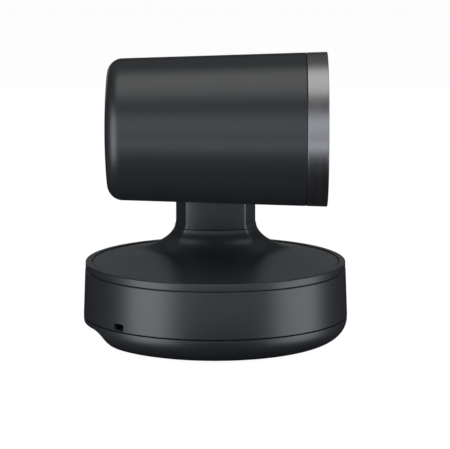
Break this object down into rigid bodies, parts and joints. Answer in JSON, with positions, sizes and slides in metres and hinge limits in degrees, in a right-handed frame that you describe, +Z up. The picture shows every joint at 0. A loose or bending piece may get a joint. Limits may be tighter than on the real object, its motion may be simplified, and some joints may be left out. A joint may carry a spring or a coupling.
{
  "type": "pan-tilt-zoom camera",
  "caption": "Tabletop pan-tilt-zoom camera: tapered drum head on a side arm, turning on a round base with a rear cable recess.",
  "frame": {"origin": "bottom centre of the base, on the surface that the feet rest on", "axes": "+Z up along the pan axis, +X the way the lens looks at rest, +Y towards the arm"},
  "size_m": [0.152, 0.152, 0.1692],
  "materials": {
    "graphite_shell": "fine satin moulded texture",
    "dark_bezel_metal": "dark anodised, turned satin",
    "black_trim": "matt black",
    "button_plastic": "satin grey",
    "foot_rubber": "matt",
    "bright_steel": "plated",
    "cast_aluminium": "as cast",
    "motor_can": "satin",
    "brass_parts": "machined",
    "nylon_gear": "natural moulded",
    "circuit_board": "solder resist",
    "smoked_glass": "polished, tinted",
    "coated_lens": "polished, coated",
    "light_window": "translucent",
    "cable_sleeve": "matt sleeve"
  },
  "bodies": {
    "base": {"base_housing": "graphite_shell", "rim_ring": "graphite_shell", "bottom_cover": "graphite_shell", "base_frame": "bright_steel", "main_board": "circuit_board", "port_plate": "black_trim", "usb_port": "bright_steel", "hdmi_port": "bright_steel", "serial_port": "black_trim", "power_jack": "black_trim", "security_slot_insert": "bright_steel", "status_light": "light_window", "tripod_insert": "brass_parts", "foot_1": "foot_rubber", "foot_2": "foot_rubber", "foot_3": "foot_rubber", "foot_4": "foot_rubber", "base_screw_1": "bright_steel", "base_screw_2": "bright_steel", "base_screw_3": "bright_steel", "base_screw_4": "bright_steel", "pan_bearing": "bright_steel", "pan_motor": "motor_can"},
    "pairing_button": {"pairing_button": "button_plastic"},
    "pan_pinion": {"pan_pinion": "brass_parts"},
    "turntable": {"turntable_cover": "graphite_shell", "turntable_plate": "bright_steel", "pan_shaft": "bright_steel", "pan_gear": "nylon_gear", "arm_frame": "cast_aluminium", "arm_shell": "graphite_shell", "arm_cover": "graphite_shell", "arm_screw_1": "bright_steel", "arm_screw_2": "bright_steel", "tilt_motor": "motor_can", "tilt_bearing": "bright_steel", "wiring_harness": "cable_sleeve"},
    "tilt_pinion": {"tilt_pinion": "brass_parts"},
    "head": {"head_shell": "graphite_shell", "front_bezel": "dark_bezel_metal", "front_glass": "smoked_glass", "front_baffle": "black_trim", "lens_barrel": "black_trim", "front_lens": "coated_lens", "lens_trim_ring": "dark_bezel_metal", "head_chassis": "cast_aluminium", "tilt_shaft": "bright_steel", "tilt_gear": "nylon_gear", "hub_collar": "black_trim", "sensor_board": "circuit_board", "image_sensor": "black_trim", "processor_board": "circuit_board", "heat_sink": "cast_aluminium", "zoom_motor": "motor_can", "focus_motor": "motor_can"},
    "zoom_group": {"zoom_carriage": "nylon_gear", "zoom_lens": "coated_lens"},
    "focus_group": {"focus_carriage": "nylon_gear", "focus_lens": "coated_lens"}
  },
  "joints": [
    {"name": "pan", "type": "hinge", "parent": "base", "child": "turntable", "pos_m": [0, 0, 0.0472], "axis": [0, 0, 1], "range_deg": [-90, 90]},
    {"name": "tilt", "type": "hinge", "parent": "turntable", "child": "head", "pos_m": [0, 0, 0.1252], "axis": [0, -1, 0], "range_deg": [-90, 50]},
    {"name": "pan_pinion_spin", "type": "hinge", "parent": "base", "child": "pan_pinion", "pos_m": [0.0288, 0, 0.0285], "axis": [0, 0, 1], "range_deg": [-272, 272]},
    {"name": "tilt_pinion_spin", "type": "hinge", "parent": "turntable", "child": "tilt_pinion", "pos_m": [0, 0.0503, 0.1054], "axis": [0, -1, 0], "range_deg": [-136, 242]},
    {"name": "zoom_slide", "type": "slide", "parent": "head", "child": "zoom_group", "axis": [1, 0, 0], "range_m": [0, 0.012]},
    {"name": "focus_slide", "type": "slide", "parent": "head", "child": "focus_group", "axis": [1, 0, 0], "range_m": [0, 0.003]},
    {"name": "pairing_button_press", "type": "slide", "parent": "base", "child": "pairing_button", "axis": [1, 0, 0], "range_m": [0, 0.0005], "stiffness_N_per_m": 300, "springref_m": -0.001}
  ],
  "couplings": [
    {"joint": "pan_pinion_spin", "follows": "pan", "ratio": -3},
    {"joint": "tilt_pinion_spin", "follows": "tilt", "ratio": -2.6667}
  ]
}
